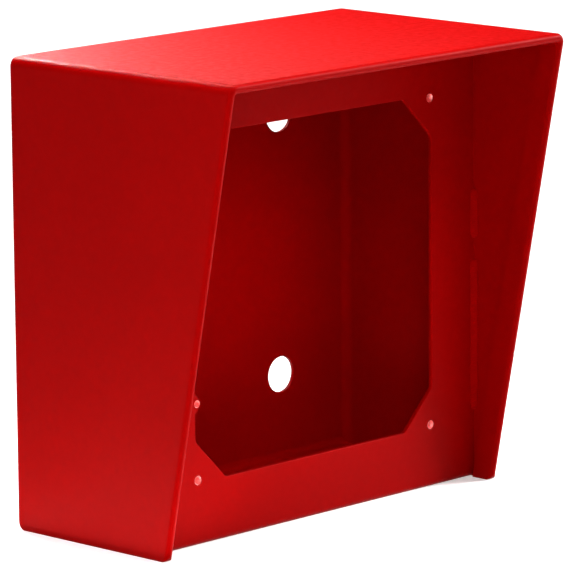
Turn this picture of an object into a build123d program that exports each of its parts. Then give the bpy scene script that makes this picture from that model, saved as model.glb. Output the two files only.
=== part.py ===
"""Hooded surface back box for a wall horn strobe, in folded and welded sheet steel.

Millimetres. The origin is the centre of the back face that lies on the wall.
+X is to the right of someone facing the front, +Y goes into the wall, +Z is up.
"""

import os

from build123d import *

# Overall envelope
WIDTH = 203.2  # across the cheeks
HEIGHT = 200.0
TOP_DEPTH = 127.0  # the hood stands out furthest at the top
BOTTOM_DEPTH = 87.5
PANEL_DEPTH = 76.2  # wall to the front face of the recessed panel

# Sheet
SHEET = 1.9  # 14 gauge
BEND = 4.0  # outside radius of the hood's bends
FLOOR_BEND = 2.5  # outside radius of the bend between the panel and the floor
TRAY_BEND = 6.0  # outside radius of the back tray's bends
CORNER = 3.5  # rounded outline corners of the cheeks
SOFT_EDGE = 0.4  # rounding of the cut edges
HEM = 10.5  # leg of the closed hem round the hood's front edge, ends short of the panel
NOSE_BEND = 2.5  # radius of the nose's axis at the folded corners

# Front panel
INSIDE = WIDTH - 2 * SHEET  # between the cheeks
PANEL_TOP = HEIGHT / 2 - SHEET
PANEL_MIDDLE = (PANEL_TOP - HEIGHT / 2) / 2  # height of the opening's centre
OPENING = 145.0
OPENING_CUT = 17.5  # 45 degree cut across each corner of the opening
OPENING_ROUND = 3.0  # where each cut meets the straight sides
DEVICE_SPACING = 142.9  # square screw pattern, 5 5/8 in
TAB_HEIGHT = 32.2  # of the small nut above the lower row
TAB_RADIUS = 4.5
TAB_SET_BACK = 1.9  # centre of the tab's curve behind the opening's edge
TAB_ROOT = 1.0  # where the tab's curve meets the opening's edge

# Clinch nuts: sheet hole, shank, thread bore, head diameters and head height
DEVICE_NUT = (4.75, 4.73, 2.9, 7.1, 2.3)
GROUND_NUT = (4.22, 4.20, 2.3, 6.35, 1.8)
THREAD_LEAD_IN = 0.35

# Back tray
WALL_HOLE = 16.0
WALL_HOLE_X = 55.8  # half the spacing across
WALL_HOLE_Z = 58.0  # half the spacing up
LOWER_FLANGE = 15.0  # the tray's lower edge, turned forward on to the floor

# Welds between the panel and the cheeks
WELD_LEG = 2.4
WELD_RUNS = ((-70.0, -3.0), (6.0, 28.0))  # heights of each run

os.makedirs("parts", exist_ok=True)


def arch(width, height, radius):
    """A rectangle centred across, topped with two rounded corners, foot at z = -HEIGHT/2."""
    foot = -HEIGHT / 2
    with BuildSketch() as sketch:
        with Locations((0, foot + height / 2)):
            Rectangle(width, height)
        fillet(sketch.vertices().group_by(Axis.Y)[-1], radius)
    return sketch.sketch


# ---------------------------------------------------------------- hood
# One sheet folded over the top. Its front edge is turned back on itself in a closed hem,
# whose round nose runs up one cheek, round the folded corner and over to the other cheek.
nose_foot = Vector(0, -BOTTOM_DEPTH + SHEET, -HEIGHT / 2)
nose_head = Vector(0, -TOP_DEPTH + SHEET, HEIGHT / 2 - SHEET)
slope = (nose_head - nose_foot).normalized()
slope_length = (nose_head - nose_foot).length
mouth = Plane(origin=nose_foot, x_dir=(1, 0, 0), z_dir=(0, -slope.Z, slope.Y))
second_layer = HEM - SHEET  # how far it reaches behind the nose's axis

with BuildPart() as hood_shell:
    with BuildSketch(Plane.XZ):
        add(arch(WIDTH, HEIGHT, BEND))
        add(arch(INSIDE, HEIGHT - SHEET, BEND - SHEET), mode=Mode.SUBTRACT)
    extrude(amount=TOP_DEPTH)

    # the sheet ends on the nose's axis
    with BuildSketch(Plane.YZ):
        with BuildLine():
            Polyline(
                (0, -HEIGHT / 2),
                (nose_foot.Y, -HEIGHT / 2),
                (nose_head.Y, nose_head.Z),
                (nose_head.Y, HEIGHT / 2),
                (0, HEIGHT / 2),
                close=True,
            )
        make_face()
    extrude(amount=WIDTH / 2, both=True, mode=Mode.INTERSECT)

    # the second layer, behind the nose on both cheeks and under the top
    with BuildSketch(Plane.YZ):
        with BuildLine():
            Polyline(
                (nose_foot.Y, nose_foot.Z),
                (nose_head.Y, nose_head.Z),
                (nose_head.Y + second_layer, nose_head.Z),
                (nose_foot.Y + second_layer, nose_foot.Z),
                close=True,
            )
        make_face()
    extrude(amount=INSIDE / 2, both=True)
    with BuildSketch(Plane.XZ):
        add(arch(INSIDE - 2 * SHEET, HEIGHT - 2 * SHEET, BEND - SHEET))
    extrude(amount=TOP_DEPTH, mode=Mode.SUBTRACT)

    # the nose
    with BuildLine(mouth) as nose:
        FilletPolyline(
            (-INSIDE / 2, 0),
            (-INSIDE / 2, slope_length),
            (INSIDE / 2, slope_length),
            (INSIDE / 2, 0),
            radius=NOSE_BEND,
        )
    with BuildSketch(Plane(origin=nose.line @ 0, z_dir=nose.line % 0)):
        Circle(SHEET)
    sweep(path=nose.line)

    # rounded corners at the feet of the cheeks
    front = nose_foot.Y - SHEET / slope.Z
    with BuildSketch(Plane.YZ) as outline:
        with BuildLine():
            Polyline(
                (0, -HEIGHT / 2),
                (front, -HEIGHT / 2),
                (front + HEIGHT * slope.Y / slope.Z, HEIGHT / 2),
                (0, HEIGHT / 2),
                close=True,
            )
        make_face()
        fillet(outline.vertices().group_by(Axis.Y)[0], CORNER)
    extrude(amount=WIDTH / 2, both=True, mode=Mode.INTERSECT)

hood_shell.part.label = "hood_shell"
export_step(hood_shell.part, "parts/hood_shell.step")

# ---------------------------------------------------------------- back tray
# Back wall with its left, right and top edges turned forward as far as the panel.
tray_depth = PANEL_DEPTH - SHEET
tray_height = HEIGHT - 2 * SHEET
with BuildPart() as back_tray:
    with Locations((0, -tray_depth / 2, 0)):
        Box(INSIDE, tray_depth, tray_height)
    fillet(back_tray.edges().filter_by(Axis.Y).group_by(Axis.Z)[-1], BEND)
    fillet(back_tray.faces().sort_by(Axis.Y)[-1].edges(), TRAY_BEND)
    offset(amount=-SHEET, openings=back_tray.faces().sort_by(Axis.Y)[0])

    # the floor belongs to the front panel, so only a flange is left of the lower wall
    with Locations((0, -(tray_depth + LOWER_FLANGE) / 2, -tray_height / 2)):
        Box(INSIDE - 2 * SHEET, tray_depth - LOWER_FLANGE, 4 * SHEET, mode=Mode.SUBTRACT)

    # clearance for the bend between the panel and the floor
    with Locations((0, -tray_depth, -tray_height / 2)):
        Box(INSIDE, 2 * BEND, 2 * BEND, mode=Mode.SUBTRACT)

    # holes to the wall box and the wall anchors
    with BuildSketch(Plane.XZ):
        with GridLocations(2 * WALL_HOLE_X, 2 * WALL_HOLE_Z, 2, 2):
            Circle(WALL_HOLE / 2)
    extrude(amount=2 * SHEET, mode=Mode.SUBTRACT)
    fillet(back_tray.edges().filter_by(GeomType.CIRCLE).group_by(SortBy.RADIUS)[-1], SOFT_EDGE)

back_tray.part.label = "back_tray"
export_step(back_tray.part, "parts/back_tray.step")

# ---------------------------------------------------------------- front panel
# Upright panel between the cheeks, folded back at the bottom to make the floor.
panel_face = Plane.XZ.offset(PANEL_DEPTH)
tab_centre = (-OPENING / 2 - TAB_SET_BACK, PANEL_MIDDLE - DEVICE_SPACING / 2 + TAB_HEIGHT)
ground_centre = (-DEVICE_SPACING / 2, tab_centre[1])
with BuildPart() as front_panel:
    with BuildSketch(Plane.YZ):
        with BuildLine():
            Polyline(
                (-PANEL_DEPTH, PANEL_TOP),
                (-PANEL_DEPTH, -HEIGHT / 2),
                (0, -HEIGHT / 2),
                (0, -HEIGHT / 2 + SHEET),
                (-PANEL_DEPTH + SHEET, -HEIGHT / 2 + SHEET),
                (-PANEL_DEPTH + SHEET, PANEL_TOP),
                close=True,
            )
        make_face()
    extrude(amount=INSIDE / 2, both=True)
    across = front_panel.edges().filter_by(Axis.X)
    fillet(across.sort_by_distance((0, -PANEL_DEPTH, -HEIGHT / 2))[0], FLOOR_BEND)
    across = front_panel.edges().filter_by(Axis.X)
    inner = (0, -PANEL_DEPTH + SHEET, -HEIGHT / 2 + SHEET)
    fillet(across.sort_by_distance(inner)[0], FLOOR_BEND - SHEET)
    fillet(front_panel.edges().filter_by(Axis.Y).group_by(Axis.Z)[-1], BEND)

    # opening, with the small tab left standing at its lower left
    with BuildSketch(panel_face):
        with BuildSketch(mode=Mode.PRIVATE) as opening:
            with Locations((0, PANEL_MIDDLE)):
                Rectangle(OPENING, OPENING)
            chamfer(opening.vertices(), OPENING_CUT)
            fillet(opening.vertices(), OPENING_ROUND)
            with Locations(tab_centre):
                Circle(TAB_RADIUS, mode=Mode.SUBTRACT)
            fillet(opening.vertices().sort_by_distance(tab_centre)[0:2], TAB_ROOT)
        add(opening.sketch)
    extrude(amount=-SHEET, mode=Mode.SUBTRACT)
    for face in front_panel.faces().filter_by(Axis.Y).sort_by(Axis.Y)[0:2]:
        fillet(face.inner_wires()[0].edges(), SOFT_EDGE)

    # holes for the clinch nuts
    with BuildSketch(panel_face):
        with Locations((0, PANEL_MIDDLE)):
            with GridLocations(DEVICE_SPACING, DEVICE_SPACING, 2, 2):
                Circle(DEVICE_NUT[0] / 2)
        with Locations(ground_centre):
            Circle(GROUND_NUT[0] / 2)
    extrude(amount=-SHEET, mode=Mode.SUBTRACT)

front_panel.part.label = "front_panel"
export_step(front_panel.part, "parts/front_panel.step")

# ---------------------------------------------------------------- panel welds
# Concave fillet of weld metal between the panel and each cheek, in two runs a side.
with BuildPart() as panel_welds:
    for side in (1, -1):  # right, left
        for low, high in WELD_RUNS:
            root = Plane(origin=(side * INSIDE / 2, -PANEL_DEPTH, low), x_dir=(-side, 0, 0))
            with BuildSketch(root):
                reach = -side * WELD_LEG
                with BuildLine():
                    Line((0, 0), (WELD_LEG, 0))
                    RadiusArc((WELD_LEG, 0), (0, -reach), -side * WELD_LEG * 1.6)
                    Line((0, -reach), (0, 0))
                make_face()
            extrude(amount=high - low)

panel_welds.part.label = "panel_welds"
export_step(panel_welds.part, "parts/panel_welds.step")


# ---------------------------------------------------------------- clinch nuts
def clinch_nut(sizes):
    """One nut on the Z axis, shank end at z = 0, head behind the panel below it."""
    _, shank, bore, head, head_height = sizes
    back = -SHEET - head_height
    with BuildPart() as nut:
        with BuildSketch(Plane.XZ):
            with BuildLine():
                Polyline(
                    (bore / 2 + THREAD_LEAD_IN, 0),
                    (shank / 2, 0),
                    (shank / 2, -SHEET),
                    (head / 2, -SHEET),
                    (head / 2, back + THREAD_LEAD_IN),
                    (head / 2 - THREAD_LEAD_IN, back),
                    (bore / 2 + THREAD_LEAD_IN, back),
                    (bore / 2, back + THREAD_LEAD_IN),
                    (bore / 2, -THREAD_LEAD_IN),
                    close=True,
                )
            make_face()
        revolve(axis=Axis.Z)
    return nut.part


with BuildPart(panel_face) as device_nuts:
    with Locations((0, PANEL_MIDDLE)):
        with GridLocations(DEVICE_SPACING, DEVICE_SPACING, 2, 2):
            add(clinch_nut(DEVICE_NUT))

device_nuts.part.label = "device_nuts"
export_step(device_nuts.part, "parts/device_nuts.step")

with BuildPart(panel_face) as ground_nut:
    with Locations(ground_centre):
        add(clinch_nut(GROUND_NUT))

ground_nut.part.label = "ground_nut"
export_step(ground_nut.part, "parts/ground_nut.step")
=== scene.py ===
"""Looks of a hooded back box for a wall horn strobe.

Red textured powder coat on the sheet metal, tapped clinch nuts, rippled weld beads,
a pale floor, soft studio lights and the camera. Metres, in the frame of the CAD model.
"""

import math
import random

import bpy
from mathutils import Matrix, Vector


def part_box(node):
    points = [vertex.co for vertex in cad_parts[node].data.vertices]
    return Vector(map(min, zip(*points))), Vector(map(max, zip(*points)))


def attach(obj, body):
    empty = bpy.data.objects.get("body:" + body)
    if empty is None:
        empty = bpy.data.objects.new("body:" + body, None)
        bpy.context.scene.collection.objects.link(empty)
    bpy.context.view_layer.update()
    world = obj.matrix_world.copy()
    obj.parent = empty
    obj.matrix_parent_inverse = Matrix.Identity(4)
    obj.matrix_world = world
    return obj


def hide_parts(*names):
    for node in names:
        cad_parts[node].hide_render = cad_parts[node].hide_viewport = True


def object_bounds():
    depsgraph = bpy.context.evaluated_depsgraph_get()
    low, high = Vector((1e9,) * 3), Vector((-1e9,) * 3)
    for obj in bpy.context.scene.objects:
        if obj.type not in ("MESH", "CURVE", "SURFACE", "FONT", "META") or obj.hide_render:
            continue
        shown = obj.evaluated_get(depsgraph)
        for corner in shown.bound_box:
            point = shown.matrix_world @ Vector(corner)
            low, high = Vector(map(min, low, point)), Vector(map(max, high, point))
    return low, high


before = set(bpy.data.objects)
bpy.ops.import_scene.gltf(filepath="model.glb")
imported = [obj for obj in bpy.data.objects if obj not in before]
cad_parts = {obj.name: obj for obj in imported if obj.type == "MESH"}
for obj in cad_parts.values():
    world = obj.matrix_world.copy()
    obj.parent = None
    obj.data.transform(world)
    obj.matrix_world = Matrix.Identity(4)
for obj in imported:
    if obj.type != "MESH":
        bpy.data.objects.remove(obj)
cad_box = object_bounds()
low, high = (Vector(corner) for corner in cad_box)
MM = 0.001

# Camera: where it stands and how it is turned, in metres and degrees
CAMERA_AT = Vector((-1.4562, -1.4568, 0.3819))
CAMERA_AZIMUTH = 46.192  # 0 looks along +Y, and 90 along +X
CAMERA_ELEVATION = 10.825  # looking down
CAMERA_ROLL = -0.483
CAMERA_LENS = 304.18  # millimetres on a 36 mm sensor

# Finish
RED = (0.225, 0.0004, 0.0004, 1)
RED_GLOSS = (1.0, 0.03, 0.03, 1)  # the coat's reflection seen square on

# Clinch nuts: head, shank and thread diameters, thread pitch, and the sheet that holds them
SHEET = 1.9 * MM
DEVICE_NUT = {"head": 7.1 * MM, "shank": 4.73 * MM, "major": 3.5 * MM, "minor": 2.9 * MM}
DEVICE_NUT["pitch"] = 0.794 * MM
GROUND_NUT = {"head": 6.35 * MM, "shank": 4.2 * MM, "major": 2.84 * MM, "minor": 2.3 * MM}
GROUND_NUT["pitch"] = 0.635 * MM

# Floor
FLOOR_SIZE = 12.0
FLOOR_GLOW = 0.33  # light that the floor gives off by itself

# Weld beads
WELD_GAP = (-3.0 * MM, 6.0 * MM)  # heights between the two runs
WELD_RIPPLE = 1.3 * MM


# ---------------------------------------------------------------- materials
class Nodes:
    """A material and short ways to add nodes to it."""

    def __init__(self, name):
        self.material = bpy.data.materials.new(name)
        self.material.use_nodes = True
        self.tree = self.material.node_tree
        self.shader = self.tree.nodes["Principled BSDF"]
        self.where = self.add("ShaderNodeTexCoord").outputs["Object"]

    def add(self, kind, inputs=None, **settings):
        node = self.tree.nodes.new(kind)
        for key, value in settings.items():
            setattr(node, key, value)
        for key, value in (inputs or {}).items():
            if isinstance(value, bpy.types.NodeSocket):
                self.tree.links.new(value, node.inputs[key])
            else:
                node.inputs[key].default_value = value
        return node

    def noise(self, scale, detail=2.0, rough=0.5):
        inputs = {"Vector": self.where, "Scale": scale, "Detail": detail, "Roughness": rough}
        return self.add("ShaderNodeTexNoise", inputs).outputs["Fac"]

    def map(self, value, out_low, out_high, in_low=0.3, in_high=0.7):
        inputs = {
            "Value": value,
            "From Min": in_low,
            "From Max": in_high,
            "To Min": out_low,
            "To Max": out_high,
        }
        return self.add("ShaderNodeMapRange", inputs).outputs["Result"]

    def mix(self, factor, a, b):
        node = self.add("ShaderNodeMix", data_type="RGBA")
        for index, value in ((0, factor), (6, a), (7, b)):
            if isinstance(value, bpy.types.NodeSocket):
                self.tree.links.new(value, node.inputs[index])
            else:
                node.inputs[index].default_value = value
        return node.outputs[2]

    def plug(self, **values):
        for key, value in values.items():
            socket = self.shader.inputs[key.replace("_", " ")]
            if isinstance(value, bpy.types.NodeSocket):
                self.tree.links.new(value, socket)
            else:
                socket.default_value = value


def shade(colour, factor):
    return tuple(channel * factor for channel in colour[:3]) + (1,)


def powder_coat(name):
    """Red powder coat with a fine orange-peel skin, mottled and faintly cloudy."""
    m = Nodes(name)
    cloud = m.noise(28, 3, 0.55)
    mottle = m.noise(300, 2, 0.6)
    peel = m.noise(620, 1.5, 0.5)
    grit = m.noise(1900, 1.0, 0.5)
    broad = m.mix(m.map(cloud, 0, 1), shade(RED, 0.96), shade(RED, 1.04))
    patchy = m.mix(m.map(mottle, 0, 0.35), broad, shade(RED, 0.80))
    colour = m.mix(m.map(peel, 0, 0.25), patchy, shade(RED, 0.88))
    skin = m.add("ShaderNodeMath", {0: grit, 1: 0.25, 2: peel}, operation="MULTIPLY_ADD").outputs[0]
    bump = m.add("ShaderNodeBump", {"Height": skin, "Strength": 0.3, "Distance": 0.0001})
    m.plug(
        Base_Color=colour,
        Roughness=m.map(mottle, 0.38, 0.52),
        Specular_IOR_Level=0.03,
        Specular_Tint=RED_GLOSS,
        Normal=bump.outputs["Normal"],
    )
    return m.material


def zinc(name):
    """Zinc plate in the bores, its colour painted bright red: a painted reflection of the red coat around
    it and a painted highlight.
    """
    m = Nodes(name)
    grain = m.noise(900, 3, 0.6)
    bump = m.add("ShaderNodeBump", {"Height": grain, "Strength": 0.2, "Distance": 0.00005})
    m.plug(
        # painted reflection and painted highlight: the bright red and pink stand in for the red coat
        # mirrored in the zinc
        Base_Color=m.mix(m.map(grain, 0, 1), (0.95, 0.10, 0.09, 1), (1.0, 0.32, 0.30, 1)),
        Roughness=m.map(grain, 0.25, 0.4),
        Metallic=0.4,
        Normal=bump.outputs["Normal"],
    )
    return m.material


def dress(node, material):
    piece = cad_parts[node]
    piece.data.materials.clear()
    piece.data.materials.append(material)


coat = powder_coat("red_powder_coat")
zinc_with_painted_reflection = zinc("zinc_painted_red_reflection")
for node in ("hood_shell", "back_tray", "front_panel"):
    dress(node, coat)


# ---------------------------------------------------------------- meshes
def new_piece(name, points, faces, materials, node, material_of=None):
    """A smooth mesh piece on the one body, standing for a CAD node."""
    mesh = bpy.data.meshes.new(name)
    mesh.from_pydata([tuple(point) for point in points], [], faces)
    for material in materials:
        mesh.materials.append(material)
    for polygon in mesh.polygons:
        polygon.use_smooth = True
        if material_of:
            polygon.material_index = material_of(polygon.index)
    mesh.validate()
    piece = bpy.data.objects.new(name, mesh)
    bpy.context.scene.collection.objects.link(piece)
    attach(piece, "root")
    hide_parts(node)
    return piece


def lathe_rows(rings, around, closed=False):
    """Quads between neighbouring rings of points, each ring `around` points long."""
    faces = []
    last = len(rings) if closed else len(rings) - 1
    for row in range(last):
        base = row * around
        above = (row + 1) % len(rings) * around
        for step in range(around):
            turn = (step + 1) % around
            faces.append((base + step, base + turn, above + turn, above + step))
    return faces


# ---------------------------------------------------------------- clinch nuts
AROUND = 48
THREAD_ROWS = 8  # rows of points in one pitch


def nut(name, centre_x, centre_z, front, back, sizes, node):
    """A tapped nut pressed into the sheet: coated outside, its bore thread coloured bright red as a
    painted reflection and painted highlight.
    """
    minor, major = sizes["minor"] / 2, sizes["major"] / 2
    shank, head = sizes["shank"] / 2, sizes["head"] / 2
    depth = back - front
    lead = major - minor + 0.1 * MM
    edge = 0.15 * MM  # worn rims
    outside = (
        (major + edge, 0.05 * MM),
        (major + 0.2 * MM, 0),
        (shank - edge, 0),
        (shank, edge),
        (shank, SHEET),
        (head - edge, SHEET),
        (head, SHEET + edge),
        (head, depth - edge),
        (head - edge, depth),
        (major + edge, depth),
    )
    rows = int(round(depth / sizes["pitch"] * THREAD_ROWS))
    rings = []
    for radius, along in outside:
        rings.append([(radius, along)] * AROUND)
    for row in range(rows, -1, -1):
        along = depth * row / rows
        chamfer = major - min(along, depth - along) * (major - minor) / lead
        ring = []
        for step in range(AROUND):
            phase = (along / sizes["pitch"] + step / AROUND) % 1
            groove = minor + (major - minor) * (1 - abs(2 * phase - 1))
            ring.append((max(groove, chamfer), along))
        rings.append(ring)
    points = []
    for ring in rings:
        for step, (radius, along) in enumerate(ring):
            angle = math.tau * step / AROUND
            points.append(
                (centre_x + radius * math.cos(angle), front + along, centre_z + radius * math.sin(angle))
            )
    faces = lathe_rows(rings, AROUND, closed=True)
    coated = (len(outside) - 1) * AROUND
    return new_piece(
        name, points, faces, (coat, zinc_with_painted_reflection), node, lambda index: 0 if index < coated else 1
    )


nuts_low, nuts_high = (Vector(corner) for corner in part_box("device_nuts"))
reach = DEVICE_NUT["head"] / 2
for row, z in (("lower", nuts_low.z + reach), ("upper", nuts_high.z - reach)):
    for side, x in (("left", nuts_low.x + reach), ("right", nuts_high.x - reach)):
        name = f"{row}_{side}_device_nut"
        nut(name, x, z, nuts_low.y, nuts_high.y, DEVICE_NUT, "device_nuts")
ground_low, ground_high = (Vector(corner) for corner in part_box("ground_nut"))
middle = (ground_low + ground_high) / 2
nut("tab_nut", middle.x, middle.z, ground_low.y, ground_high.y, GROUND_NUT, "ground_nut")

# ---------------------------------------------------------------- weld beads
SECTION = 10  # points across the bead's face


def bead(name, side, bottom, top, seed):
    """One run of weld metal in the corner between the panel and a cheek, ripples frozen in it."""
    chance = random.Random(seed)
    weld_low, weld_high = (Vector(corner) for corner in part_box("panel_welds"))
    corner = Vector((weld_high.x if side > 0 else weld_low.x, weld_high.y))
    leg = weld_high.y - weld_low.y
    rows = int((top - bottom) / (WELD_RIPPLE / 5))
    wander = [chance.uniform(0.86, 1.0) for _ in range(rows // 12 + 2)]
    points = []
    for row in range(rows + 1):
        z = bottom + (top - bottom) * row / rows
        end = min(z - bottom, top - z) / (1.6 * leg)
        swell = math.sqrt(min(1, max(0, end)) * (2 - min(1, max(0, end))))
        slow, part = divmod(row / 12, 1)
        size = leg * (wander[int(slow)] * (1 - part) + wander[int(slow) + 1] * part)
        size *= 0.25 + 0.75 * swell
        ripple = abs(math.sin(math.pi * (z - bottom) / WELD_RIPPLE)) * 0.05 * leg
        for step in range(SECTION + 1):
            t = step / SECTION
            bulge = 0.10 * size + ripple * swell
            sag = math.sin(math.pi * t) * (bulge - 0.12 * size)
            across = size * (1 - t) - sag * 0.7
            out = size * t - sag * 0.7
            points.append((corner.x - side * across, corner.y - out, z))
        points.append((corner.x, corner.y, z))
    ring = SECTION + 2
    faces = []
    for row in range(rows):
        for step in range(ring):
            turn = (step + 1) % ring
            quad = (row * ring + step, row * ring + turn, (row + 1) * ring + turn, (row + 1) * ring + step)
            faces.append(quad if side > 0 else quad[::-1])
    foot = tuple(range(ring))
    crown = tuple(rows * ring + step for step in range(ring))
    faces += [foot[::-1], crown] if side > 0 else [foot, crown[::-1]]
    return new_piece(name, points, faces, (coat,), "panel_welds")


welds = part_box("panel_welds")
runs = (("long", welds[0][2], WELD_GAP[0]), ("short", WELD_GAP[1], welds[1][2]))
for side, side_name in ((1, "right"), (-1, "left")):
    for number, (run, bottom, top) in enumerate(runs):
        bead(f"{side_name}_{run}_weld_bead", side, bottom, top, 10 * side + number)


# ---------------------------------------------------------------- stage
def pale_floor():
    mesh = bpy.data.meshes.new("floor")
    half = FLOOR_SIZE / 2
    z = low.z
    mesh.from_pydata(
        [(-half, -half, z), (half, -half, z), (half, half, z), (-half, half, z)], [], [(0, 1, 2, 3)]
    )
    floor = bpy.data.objects.new("floor", mesh)
    bpy.context.scene.collection.objects.link(floor)
    m = Nodes("pale_floor")
    m.plug(
        Base_Color=(0.85, 0.85, 0.85, 1),
        Roughness=0.9,
        Specular_IOR_Level=0.1,
        Emission_Color=(1, 1, 1, 1),
        Emission_Strength=FLOOR_GLOW,
    )
    mesh.materials.append(m.material)


def softbox(name, at, towards, size, power, spread=180):
    """A rectangular light of `power` watts, gridded to `spread` degrees, unseen by the camera."""
    light = bpy.data.lights.new(name, "AREA")
    light.shape = "RECTANGLE"
    light.size, light.size_y = size
    light.energy = power
    light.spread = math.radians(spread)
    box = bpy.data.objects.new(name, light)
    bpy.context.scene.collection.objects.link(box)
    box.location = at
    box.rotation_euler = (Vector(towards) - Vector(at)).to_track_quat("-Z", "Y").to_euler()
    box.visible_camera = False


pale_floor()
HOOD_TOP = (0, -0.06, high.z)
CENTRE = (0, 0, 0)
FRONT = (0, -0.06, 0)
softbox("overhead", (0, -0.06, 0.60), HOOD_TOP, (0.3, 0.2), 1.5, spread=70)
softbox("behind_the_top", (0.10, 0.40, 0.23), (-0.08, -0.05, 0.10), (0.15, 0.15), 1.65, spread=60)
softbox("near_corner", (-0.36, -0.40, 0.10), FRONT, (0.2, 0.2), 0.77)
softbox("over_the_corner", (-0.30, -0.36, 0.40), FRONT, (0.2, 0.2), 0.65)
softbox("left", (-1.6, 0.2, 0.2), CENTRE, (0.6, 0.6), 8.5)
softbox("right", (1.6, -0.9, 0.8), CENTRE, (0.6, 0.6), 70)
softbox("backdrop", (1.1, 1.1, 2.0), (1.1, 1.1, 0), (2.0, 2.0), 12.5, spread=80)
# narrow lights through the opening: one slanting down inside, one nearly straight in
softbox("down_the_opening", (-0.02, -0.17, 0.075), (0.03, 0, -0.07), (0.05, 0.03), 0.038, spread=60)
softbox("through_the_opening", (-0.05, -0.25, 0.06), (0.01, 0, 0), (0.06, 0.06), 0.004, spread=50)
# bounce cards lying on the floor, one along the left cheek and one before the panel
softbox("left_card", (-0.140, -0.044, -0.099), (-0.140, -0.044, 1), (0.07, 0.13), 0.068)
softbox("front_card", (-0.075, -0.125, -0.0985), (-0.075, -0.125, 1), (0.07, 0.06), 0.058)

world = bpy.data.worlds.new("studio")
bpy.context.scene.world = world
world.use_nodes = True
world.node_tree.nodes["Background"].inputs["Color"].default_value = (1, 1, 1, 1)
world.node_tree.nodes["Background"].inputs["Strength"].default_value = 0.02

# ---------------------------------------------------------------- camera
azimuth, elevation, roll = (math.radians(a) for a in (CAMERA_AZIMUTH, CAMERA_ELEVATION, CAMERA_ROLL))
forward = Vector(
    (
        math.sin(azimuth) * math.cos(elevation),
        math.cos(azimuth) * math.cos(elevation),
        -math.sin(elevation),
    )
)
level_right = Vector((math.cos(azimuth), -math.sin(azimuth), 0))
level_up = level_right.cross(forward)
right = level_right * math.cos(roll) + level_up * math.sin(roll)
up = level_up * math.cos(roll) - level_right * math.sin(roll)
turn = Matrix((right, up, -forward)).transposed()

lens = bpy.data.cameras.new("camera")
lens.lens = CAMERA_LENS
lens.sensor_width = 36
lens.clip_end = 100
camera = bpy.data.objects.new("camera", lens)
camera.matrix_world = Matrix.Translation(CAMERA_AT) @ turn.to_4x4()
bpy.context.scene.collection.objects.link(camera)
bpy.context.scene.camera = camera
bpy.context.scene.view_settings.view_transform = "Standard"
